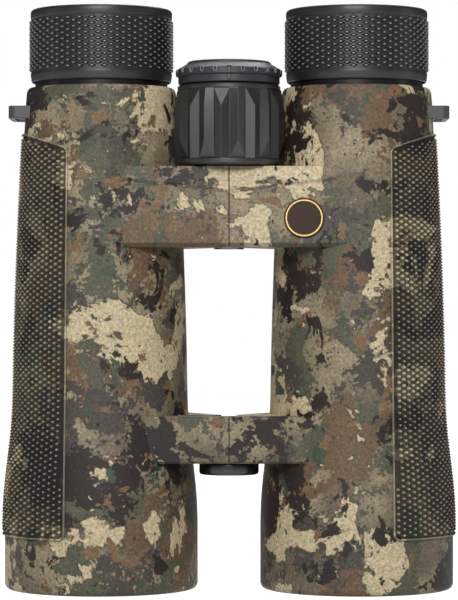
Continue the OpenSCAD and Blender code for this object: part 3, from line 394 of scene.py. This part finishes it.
# flat sheet with a raised rim, cut into strips and wrapped round the barrel
def gripPanel():
    halfWidth = grip["reference"] * gripHalf(grip["bottom"])
    height = grip["topSide"] - grip["bottom"]
    bm = bmesh.new()
    bmesh.ops.create_grid(bm, x_segments=1, y_segments=1, size=0.5)
    bmesh.ops.scale(bm, vec=(2 * halfWidth, height, 1), verts=bm.verts)
    bmesh.ops.translate(bm, vec=(0, height / 2, 0), verts=bm.verts)
    bmesh.ops.bevel(bm, geom=bm.verts[:], offset=grip["corner"], offset_type="OFFSET", segments=5,
                    profile=0.5, affect="VERTICES", material=-1)
    sheet = bm.faces[:]
    skirt = bmesh.ops.extrude_edge_only(bm, edges=bm.edges[:])["geom"]
    bmesh.ops.translate(bm, vec=(0, 0, -grip["skirt"]),
                        verts=[v for v in skirt if isinstance(v, bmesh.types.BMVert)])
    bmesh.ops.translate(bm, vec=(0, 0, grip["rim"] - grip["rimEdge"]), verts=sheet[0].verts[:])
    for thickness, depth in ((grip["rimEdge"], grip["rimEdge"]), (grip["rimWidth"], 0),
                             (grip["slope"], grip["floor"] - grip["rim"])):
        bmesh.ops.inset_region(bm, faces=sheet, thickness=thickness, depth=depth, use_even_offset=True)
    across = range(-grip["cutsAcross"], grip["cutsAcross"] + 1)
    cuts = [((k * grip["cutWidth"], 0, 0), (1, 0, 0)) for k in across]
    cuts += [((0, k * grip["cutHeight"], 0), (0, 1, 0)) for k in range(1, grip["cutsUp"] + 1)]
    for place, normal in cuts:
        bmesh.ops.bisect_plane(bm, geom=bm.verts[:] + bm.edges[:] + bm.faces[:], dist=0.0001,
                               plane_co=place, plane_no=normal)
    rise = bm.verts.layers.float.new("rise")
    for v in bm.verts:
        flat = v.co.copy()
        z = grip["bottom"] + flat.y
        angle = flat.x / halfWidth * gripHalf(z)
        z = grip["bottom"] + flat.y * (gripTop(angle, z) - grip["bottom"]) / height
        radius = barrelRadius(z) + flat.z
        v.co = (radius * math.cos(angle), radius * math.sin(angle), z)
        onRim = flat.z > grip["rim"] - grip["rimEdge"] - near
        # the rim's top is marked to be painted pale as a highlight
        v[rise] = grip["rimHighlight"] if onRim else 0
    bmesh.ops.recalc_face_normals(bm, faces=bm.faces)
    return bm


# pointed dots in staggered rows, each sunk a little in the panel; a row at a time keeps it quick
def addGripDots(bm):
    rows = int((grip["topSide"] - grip["bottom"]) / grip["dotRow"])
    columns = int(2 * gripHalf(grip["bottom"]) * grip["reference"] / grip["dotPitch"]) + 1
    for row in range(rows):
        z = grip["bottom"] + grip["margin"] + row * grip["dotRow"]
        dots = bmesh.new()
        rise = dots.verts.layers.float.new("rise")
        radius = barrelRadius(z) + grip["floor"] - grip["dotSink"]
        for column in range(columns):
            arcPlace = (column + 0.5 * (row % 2) - columns / 2 + 0.25) * grip["dotPitch"]
            angle = arcPlace / grip["reference"]
            edgeRoom = (gripHalf(z) - abs(angle)) * barrelRadius(z)
            if edgeRoom < grip["margin"] or z > gripTop(angle, z) - grip["margin"]:
                continue
            place = (Matrix.Rotation(angle, 4, "Z")
                     @ Matrix.Translation((radius + grip["dotHeight"] / 2, 0, z))
                     @ Matrix.Diagonal((*grip["dotStretch"], 1)) @ Matrix.Rotation(math.radians(90), 4, "Y"))
            bmesh.ops.create_cone(dots, cap_ends=True, segments=6, radius1=grip["dotRadius"],
                                  radius2=grip["dotTip"], depth=grip["dotHeight"], matrix=place)
        # rise runs from a dot's foot to its tip and sets its painted shade and painted highlight
        for v in dots.verts:
            v[rise] = max(0, min(1, (v.co.xy.length - radius - grip["dotSink"])
                                 / (grip["dotHeight"] - grip["dotSink"])))
        rowMesh = bpy.data.meshes.new("dots")
        dots.to_mesh(rowMesh)
        dots.free()
        bm.from_mesh(rowMesh)
        bpy.data.meshes.remove(rowMesh)


for sideName, side in sides.items():
    bm = gripPanel()
    addGripDots(bm)
    mirrorAcross(bm, side)
    bmesh.ops.translate(bm, vec=(side * barrelX, 0, 0), verts=bm.verts)
    finishPiece(f"{sideName}_dotted_grip", bm, [gripRubber], f"{sideName}_barrel",
                f"{sideName}_grip_panel", sharp=50)
print("grip panels made")


bridge = {
    "creaseZ": 120.0, "creaseStep": 0.5, "creaseDip": 3.5, "creaseProud": 1.4, "creaseEnd": 31,
    "lean": 0.0973,         # how far the front falls back per millimetre of height
    "front": -22,           # the front face lies before this y
    "top": 124.5, "topDrop": 0.8, "lip": 0.25, "lipInset": 0.35, "lipEdge": 0.02,
    "snap": 0.1,            # how close to a level a point of the CAD's mesh belongs to it
    "softEdge": (0.35, 3, 40),
}


# a rubber lip on the left halves nearly closes the seam behind their faces, so no light comes through
def finishSeam(bm, side):
    seamFaces = [f for f in bm.faces if abs(f.normal.x) > 0.99 and abs(f.calc_center_median().x) < 0.3]
    lip = seamFaces[:]
    if side < 0:
        for thickness, depth in ((bridge["lipInset"], 0), (bridge["lipEdge"], bridge["lip"])):
            lip += bmesh.ops.inset_region(bm, faces=seamFaces, thickness=thickness, depth=depth,
                                          use_even_offset=True)["faces"]
    for face in lip:
        face.material_index = 1


def lowerTop(bm):
    for v in bm.verts:
        if v.co.z > bridge["top"] - bridge["snap"]:
            v.co.z -= bridge["topDrop"]


# the crease dips towards the seam, and the facet over it stands a little proud there
def shapeCrease(bm):
    crease = [e for e in bm.edges
              if all(abs(v.co.z - bridge["creaseZ"]) < bridge["snap"] and v.co.y < bridge["front"]
                     for v in e.verts)]
    bmesh.ops.bevel(bm, geom=crease, offset=bridge["creaseStep"], offset_type="OFFSET", segments=1,
                    profile=0.5, affect="EDGES", material=-1)
    for v in bm.verts:
        offCrease = abs(v.co.z - bridge["creaseZ"]) > bridge["creaseStep"] + bridge["snap"]
        if offCrease or v.co.y > bridge["front"]:
            continue
        share = max(0, 1 - abs(v.co.x) / bridge["creaseEnd"])
        above = v.co.z > bridge["creaseZ"]
        v.co.z -= bridge["creaseDip"] * share
        v.co.y -= (bridge["creaseDip"] * bridge["lean"] + bridge["creaseProud"] * above) * share


for sideName, side in sides.items():
    for level in ("upper", "lower"):
        bm = copyNode(f"{sideName}_{level}_cover")
        if level == "upper":
            lowerTop(bm)
            shapeCrease(bm)
        finishSeam(bm, side)
        finishPiece(f"{sideName}_{level}_bridge_cover", bm, [camouflageRubber, mouldedRubber],
                    f"{sideName}_barrel", f"{sideName}_{level}_cover",
                    softEdge=bridge["softEdge"])
print("bridge covers made")


strapLoop = {"softEdge": (0.3, 3, 40)}
for sideName in sides:
    finishPiece(f"{sideName}_strap_loop", copyNode(f"{sideName}_strap_lug"), [greyNylon],
                f"{sideName}_barrel", f"{sideName}_strap_lug", softEdge=strapLoop["softEdge"])

cap = {"radius": 8.7, "inner": 5.65, "bottom": 34.2, "roof": 35.4, "top": 37.5, "round": 0.9, "edge": 0.3,
       "steps": 96}


# the cap hangs below the lower bridge, so its rounded edge is at its foot
def capOutline():
    outline = arc((cap["radius"] - cap["round"], cap["bottom"] + cap["round"]),
                  (cap["round"], cap["round"]), -90, 0, 6)
    outline += arc((cap["radius"] - cap["edge"], cap["top"] - cap["edge"]),
                   (cap["edge"], cap["edge"]), 0, 90, 4)
    outline += [(cap["inner"], cap["top"]), (cap["inner"], cap["roof"]), (0, cap["roof"]),
                (0, cap["bottom"])]
    return outline


bm = lathe(capOutline(), cap["steps"])
bmesh.ops.translate(bm, vec=(0, hingeY, 0), verts=bm.verts)
finishPiece("tripod_socket_cap", bm, [glossAbs], "socket_cap", "socket_cap")

badge = {
    "radius": 5.8, "height": 0.6, "back": 0.05, "edge": 0.15, "ring": 5.3, "ringWidth": 0.34,
    "ringProud": 0.04, "ringSlope": 0.05, "sink": 0.14, "steps": 96,
    "x": 21.6, "y": -23.6094, "z": 108.6, "tilt": 5.56,
}


# plain round plate: a dark edge, a thin gilt ring and a plain enamel field
def blankBadge():
    radius, edge, ring, face = badge["radius"], badge["edge"], badge["ring"], badge["height"]
    ringInner = ring - badge["ringWidth"]
    field = face - badge["sink"]
    outline = [(0, badge["back"]), (radius - 0.1, badge["back"]), (radius, edge)]
    outline += arc((radius - edge, face - edge), (edge, edge), 0, 90, 4)
    outline += [(ring + badge["ringSlope"], face), (ring, face + badge["ringProud"]),
                (ringInner, face + badge["ringProud"]), (ringInner - 0.06, field), (0, field)]
    bm = lathe(outline, badge["steps"])
    for made in bm.faces:
        middle = made.calc_center_median()
        onRing = ringInner - 0.03 < middle.xy.length < ring + 0.03
        made.material_index = 1 if onRing and middle.z > field else 0
    return bm


bm = blankBadge()
bmesh.ops.transform(bm, matrix=Matrix.Translation((badge["x"], badge["y"], badge["z"]))
                    @ Matrix.Rotation(math.radians(90 - badge["tilt"]), 4, "X"), verts=bm.verts)
finishPiece("plain_round_badge", bm, [darkEnamel, paleGilt], "right_barrel", "blank_badge")
print("strap loops, socket cap and badge made")


eyecup = {
    "bottom": 149.2, "top": 170.6, "band": 20.9, "inner": 20.35, "mouth": 16.6, "sleeveTop": 165.35,
    "foot": [(20.45, 0), (20.6, 0.2), (20.8, 1.6)],     # radius, and height over the bottom
    "bandStep": 0.05, "bandGap": 0.15, "bandEdge": 0.2, "outerRound": 1.0, "innerRound": 1.5,
    "knurlLow": 152.0, "rows": 18, "rowHeight": 0.875, "columns": 72, "knurlRadius": 20.7,
    "groove": 0.2, "flank": 0.42, "height": 0.66,
}


def eyecupOutline(low, high):
    band, step, gap = eyecup["band"], eyecup["bandStep"], eyecup["bandGap"]
    edge = gap + eyecup["bandEdge"]
    outer, inner = eyecup["outerRound"], eyecup["innerRound"]
    outline = [(eyecup["inner"], eyecup["bottom"])]
    outline += [(radius, eyecup["bottom"] + over) for radius, over in eyecup["foot"]]
    outline += [(band, low - edge), (band - step, low - gap)]
    outline += [(eyecup["knurlRadius"], low + i * eyecup["rowHeight"]) for i in range(eyecup["rows"] + 1)]
    outline += [(band - step, high + gap), (band, high + edge)]
    outline += arc((band - outer, eyecup["top"] - outer), (outer, outer), 4, 90, 8)
    outline += arc((eyecup["mouth"] + inner, eyecup["top"] - inner), (inner, inner), 90, 180, 8)
    outline += [(eyecup["mouth"], eyecup["sleeveTop"]), (eyecup["inner"], eyecup["sleeveTop"])]
    return outline


# every knurl quad is cut along its valley diagonal, then the peaks are taken out: diamonds are left
def eyecupRubber():
    low = eyecup["knurlLow"]
    high = low + eyecup["rows"] * eyecup["rowHeight"]
    bm = lathe(eyecupOutline(low, high), eyecup["columns"])
    pitch = math.tau / eyecup["columns"]

    def inKnurl(v):
        return abs(v.co.xy.length - eyecup["knurlRadius"]) < near and low - near < v.co.z < high + near

    def row(v):
        return round((v.co.z - low) / eyecup["rowHeight"])

    def isPeak(v):
        return (round(math.atan2(v.co.y, v.co.x) / pitch) + row(v)) % 2 == 0

    knurlFaces = [f for f in bm.faces if all(inKnurl(v) for v in f.verts)]
    for face in knurlFaces:
        valleys = [v for v in face.verts if not isPeak(v)]
        bmesh.utils.face_split(face, valleys[0], valleys[1])
    peaks = [v for v in bm.verts if inKnurl(v) and isPeak(v) and 0 < row(v) < eyecup["rows"]]
    bmesh.ops.dissolve_verts(bm, verts=peaks)
    diamonds = [f for f in bm.faces if len(f.verts) == 4 and all(inKnurl(v) for v in f.verts)]
    for thickness, depth in ((eyecup["groove"], 0), (eyecup["flank"], eyecup["height"])):
        bmesh.ops.inset_individual(bm, faces=diamonds, thickness=thickness, depth=depth,
                                   use_even_offset=True)
    # rise marks the diamonds' tops, which the knurled rubber paints grey as a highlight
    rise = bm.verts.layers.float.new("rise")
    for v in {v for f in diamonds for v in f.verts}:
        v[rise] = 1
    return bm


for sideName, side in sides.items():
    bm = eyecupRubber()
    bmesh.ops.translate(bm, vec=(side * barrelX, 0, 0), verts=bm.verts)
    finishPiece(f"{sideName}_knurled_eyecup", bm, [knurledRubber], f"{sideName}_eyecup",
                f"{sideName}_eyecup_rubber", sharp=28)
print("eyecups made")


knob = {
    "bottom": 124.1, "top": 147.6, "bandRadius": 15.8, "upperRadius": 15.0, "edge": 0.5,
    "radius": 16.2, "lowRidge": 15.95, "topRidge": 15.4, "valley": 14.75, "ridges": 20, "turn": -8.3,
    "ridgeStart": 126.0, "lowApex": 131.1, "topApex": 140.8, "ridgeEnd": 146.0,
    "bandGap": 0.3, "topGap": 0.15, "core": 14.05, "lipInner": 9.0, "lip": 0.5,
    "softEdge": (0.12, 2, 14),
}


def knobOutline(ridgeAt):
    edge = knob["edge"]
    outline = [(knob["lipInner"], knob["bottom"]), (knob["bandRadius"] - edge, knob["bottom"]),
               (knob["bandRadius"], knob["bottom"] + edge),
               (knob["bandRadius"], knob["ridgeStart"] - knob["bandGap"])]
    outline += [(radius, z) for z, radius in ridgeAt.items()]
    outline += [(knob["upperRadius"], knob["ridgeEnd"] + knob["topGap"]),
                (knob["upperRadius"], knob["top"] - edge), (knob["upperRadius"] - edge, knob["top"]),
                (knob["core"], knob["top"]), (knob["core"], knob["bottom"] + knob["lip"]),
                (knob["lipInner"], knob["bottom"] + knob["lip"])]
    return outline


# ridges with valleys between them; one ridge is cut off slantwise at its foot, the next at its top
def knobGrip():
    ridgeAt = {knob["ridgeStart"]: knob["lowRidge"], knob["lowApex"]: knob["radius"],
               knob["topApex"]: knob["radius"], knob["ridgeEnd"]: knob["topRidge"]}
    cutEnds = {0: (knob["ridgeEnd"], knob["topApex"]), 2: (knob["ridgeStart"], knob["lowApex"])}
    bm = lathe(knobOutline(ridgeAt), knob["ridges"] * 2)
    halfPitch = math.pi / knob["ridges"]

    def column(v):
        return round(math.atan2(v.co.y, v.co.x) / halfPitch) % (2 * knob["ridges"])

    def level(v):
        if v.co.xy.length < knob["core"] + 0.2:
            return None
        return next((z for z in ridgeAt if abs(v.co.z - z) < near), None)

    split = []
    for face in bm.faces:
        ridge = next(column(v) for v in face.verts if column(v) % 2 == 0)
        if len(face.verts) == 4 and {level(v) for v in face.verts} == set(cutEnds[ridge % 4]):
            split.append((face, *cutEnds[ridge % 4]))
    for face, cutEnd, apex in split:
        valley = next(v for v in face.verts if level(v) == cutEnd and column(v) % 2)
        tip = next(v for v in face.verts if level(v) == apex and column(v) % 2 == 0)
        bmesh.utils.face_split(face, valley, tip)
    for v in bm.verts:
        z = level(v)
        if z is None:
            continue
        if column(v) % 2:
            v.co.xy *= knob["valley"] / v.co.xy.length
        elif z == cutEnds[column(v) % 4][0]:
            v.co.xy *= knob["valley"] * math.cos(halfPitch) / v.co.xy.length
    return bm


bm = knobGrip()
bmesh.ops.rotate(bm, cent=(0, 0, 0), matrix=Matrix.Rotation(math.radians(knob["turn"] - 90), 3, "Z"),
                 verts=bm.verts)
bmesh.ops.translate(bm, vec=(0, hingeY, 0), verts=bm.verts)
finishPiece("ridged_focus_grip", bm, [knobRubber], "focus_knob", "focus_knob_grip",
            sharp=12, softEdge=knob["softEdge"])


dial = {
    "bottom": 147.9, "top": 154.5, "flangeLow": 150.2, "rim": 152.0, "bandRadius": 14.8, "radius": 15.5,
    "topRadius": 12.3, "crown": 0.9, "capSeat": 10.55, "capFloor": 153.05, "roof": 151.6,
    "skirtFoot": 141.6, "skirtOuter": 11.5, "skirtInner": 9.5,
    "footEdge": 0.2, "flangeStep": 0.3, "flangeEdge": 0.1, "rimEdge": 0.15,
    "columns": 72, "notchStep": 3, "notchLow": 151.05, "notchTop": 152.35, "notchFloor": 14.85,
    "notchRound": 0.42,
    # each step: how far it narrows and moves out from the axis, in mm, and its painted light: 1 is a painted
    # highlight, 0.4 a fainter one, -1 painted black shade
    "notchSteps": [(0.1, 0, 0), (0.04, 0.07, 1), (0.12, 0, 1), (0.05, 0, 0)],
    "markSteps": [(0.03, 0, -1), (0.03, -0.5, -1), (0.35, 0, -1), (0.03, 0.6, 0.4)],
}


def dialOutline():
    band, radius, rimRadius = dial["bandRadius"], dial["radius"], dial["radius"] - dial["rimEdge"]
    footEdge, flangeEdge = dial["footEdge"], dial["flangeEdge"]
    crownLow = dial["top"] - dial["crown"]
    coneIn = (rimRadius - dial["topRadius"]) / (crownLow - dial["rim"])
    coneRadius = rimRadius - coneIn * (dial["notchTop"] - dial["rim"])
    outline = [(dial["skirtOuter"], dial["skirtFoot"]), (dial["skirtOuter"], dial["bottom"]),
               (band - footEdge, dial["bottom"]), (band, dial["bottom"] + footEdge),
               (band, dial["flangeLow"] - dial["flangeStep"]), (radius - flangeEdge, dial["flangeLow"]),
               (radius, dial["flangeLow"] + flangeEdge), (radius, dial["notchLow"]),
               (radius, dial["rim"] - dial["rimEdge"]), (rimRadius, dial["rim"]),
               (coneRadius, dial["notchTop"])]
    outline += arc((dial["topRadius"] - dial["crown"], crownLow), (dial["crown"], dial["crown"]), 10, 90, 6)
    outline += [(dial["capSeat"], dial["top"]), (dial["capSeat"], dial["capFloor"]), (0, dial["capFloor"]),
                (0, dial["roof"]), (dial["skirtInner"], dial["roof"]), (dial["skirtInner"], dial["skirtFoot"])]
    return outline


# dial with a flange notched along its upper edge, and one proud bar between two grooves as its index
def diopterDial():
    bm = lathe(dialOutline(), dial["columns"])
    rise = bm.verts.layers.float.new("rise")
    pitch = math.tau / dial["columns"]

    def column(face):
        middle = face.calc_center_median()
        return int(math.atan2(middle.y, middle.x) % math.tau / pitch)

    # outer faces whose points all lie between two heights
    def outerFaces(low, high):
        return [f for f in bm.faces if f.calc_center_median().xy.length > dial["topRadius"] + 0.3
                and all(low < v.co.z < high for v in f.verts)]

    # narrow a group of faces, move it out from the axis and note its painted light: above 0 a painted
    # highlight, below 0 painted shade
    def stepOut(faces, thickness, out, paintedLight):
        bmesh.ops.inset_region(bm, faces=faces, thickness=thickness, depth=0, use_even_offset=True)
        for v in {v for f in faces for v in f.verts}:
            v.co.xy *= (v.co.xy.length + out) / v.co.xy.length
            v[rise] = paintedLight

    notched = [f for f in outerFaces(dial["notchLow"] - near, dial["notchTop"] + near)
               if column(f) % dial["notchStep"] == 0 and column(f)]
    # the foot of each notch is rounded to a U
    feet = [e for f in notched for e in f.edges if all(abs(v.co.z - dial["notchLow"]) < near for v in e.verts)]
    for edge in feet:
        a, b = (v.co.copy() for v in edge.verts)
        made = bmesh.ops.subdivide_edges(bm, edges=[edge], cuts=3)["geom_inner"]
        for v in (v for v in made if isinstance(v, bmesh.types.BMVert)):
            along = 2 * (v.co - a).length / (b - a).length - 1
            v.co.z -= dial["notchRound"] * math.sqrt(1 - along * along)
            v.co.xy *= dial["radius"] / v.co.xy.length
    for step in dial["notchSteps"]:
        stepOut(notched, *step)
    for v in {v for f in notched for v in f.verts}:
        v.co.xy *= min(1, dial["notchFloor"] / v.co.xy.length)
    # index over the band and its flange: a bar stands between two grooves
    mark = [f for f in outerFaces(dial["bottom"] + 0.1, dial["notchTop"] + near) if column(f) == 0]
    for step in dial["markSteps"]:
        stepOut(mark, *step)
    return bm


bm = diopterDial()
indexTurn = math.radians(-90 - 180 / dial["columns"])      # brings the index to the front
bmesh.ops.rotate(bm, cent=(0, 0, 0), matrix=Matrix.Rotation(indexTurn, 3, "Z"), verts=bm.verts)
bmesh.ops.translate(bm, vec=(0, hingeY, 0), verts=bm.verts)
finishPiece("notched_diopter_dial", bm, [satinDial], "diopter", "diopter_ring", sharp=30)
print("focus knob and diopter ring made")


studio = {"floorSize": 1.6, "floorTones": ("#C4C4C4", "#CBCBCB"), "floorGlow": 0.86, "ambient": 0.08}


# matt paper, which glows only where the camera or a reflection sees it, so it lights nothing
def studioFloor():
    material, tree, shader, place = startMaterial("matt_white_paper", Roughness=0.9)
    fibre = addNode(tree, "TexNoise", {"Scale": blotScale(3), "Detail": 4}, {"Vector": place})
    dark, pale = studio["floorTones"]
    tone = addNode(tree, "Mix", {6: srgb(dark), 7: srgb(pale)}, {0: fibre.outputs[0]}, data_type="RGBA")
    tree.links.new(tone.outputs[2], shader.inputs["Base Color"])
    shader.inputs["Emission Color"].default_value = (1, 1, 1, 1)
    path = addNode(tree, "LightPath")
    seen = addNode(tree, "Math", links={0: path.outputs["Is Camera Ray"], 1: path.outputs["Is Glossy Ray"]},
                   operation="MAXIMUM")
    glow = addNode(tree, "Math", {1: studio["floorGlow"]}, {0: seen.outputs[0]}, operation="MULTIPLY")
    tree.links.new(glow.outputs[0], shader.inputs["Emission Strength"])
    bm = bmesh.new()
    bmesh.ops.create_grid(bm, x_segments=1, y_segments=1, size=studio["floorSize"])
    mesh = bpy.data.meshes.new("studio_floor")
    bm.to_mesh(mesh)
    bm.free()
    mesh.materials.append(material)
    floor = bpy.data.objects.new("studio_floor", mesh)
    bpy.context.scene.collection.objects.link(floor)


# white to the camera and through glass, dim to everything else
def studioWorld():
    world = bpy.data.worlds.new("studio")
    world.use_nodes = True
    tree = world.node_tree
    tree.nodes.clear()
    path = addNode(tree, "LightPath")
    seen = addNode(tree, "Math",
                   links={0: path.outputs["Is Camera Ray"], 1: path.outputs["Is Transmission Ray"]},
                   operation="MAXIMUM")
    strength = addNode(tree, "MapRange", {"To Min": studio["ambient"], "To Max": 1.0},
                       {"Value": seen.outputs[0]})
    sky = addNode(tree, "Background", {"Color": (1, 1, 1, 1)}, {"Strength": strength.outputs[0]})
    addNode(tree, "OutputWorld", links={"Surface": sky.outputs[0]})
    bpy.context.scene.world = world


lamps = {
    # name: place in m, aim, width and height in m, power in W
    "front_softbox": ((-0.08, -1.15, 0.66), (0, 0, 0.09), (0.4, 0.4), 14.5),
    "top_softbox": ((0, -0.45, 1.0), (0, 0, 0.12), (0.35, 0.25), 2.2),
    "left_strip": ((-0.75, -0.05, 0.18), (0, 0, 0.1), (0.12, 0.6), 0.3),
    "right_strip": ((0.75, -0.05, 0.18), (0, 0, 0.1), (0.12, 0.6), 0.5),
    "back_softbox": ((0.1, 0.85, 1.05), (0, 0, 0.08), (0.6, 0.6), 7),
}
for lampName, (place, aim, size, power) in lamps.items():
    lamp = bpy.data.lights.new(lampName, "AREA")
    lamp.shape = "RECTANGLE"
    lamp.size, lamp.size_y = size
    lamp.energy = power
    holder = bpy.data.objects.new(lampName, lamp)
    holder.location = place
    holder.rotation_euler = (Vector(aim) - Vector(place)).to_track_quat("-Z", "Y").to_euler()
    bpy.context.scene.collection.objects.link(holder)
studioFloor()
studioWorld()

view = {"place": (0, -0.840, 0.08504), "lens": 170.3, "sensor": 36}
camera = bpy.data.cameras.new("camera")
camera.lens = view["lens"]
camera.sensor_fit = "VERTICAL"
camera.sensor_height = view["sensor"]
camera.clip_start = 0.01
cameraObject = bpy.data.objects.new("camera", camera)
cameraObject.location = view["place"]
cameraObject.rotation_euler = (math.radians(90), 0, 0)
bpy.context.scene.collection.objects.link(cameraObject)
bpy.context.scene.camera = cameraObject
bpy.context.scene.view_settings.view_transform = "Standard"
print("studio made")
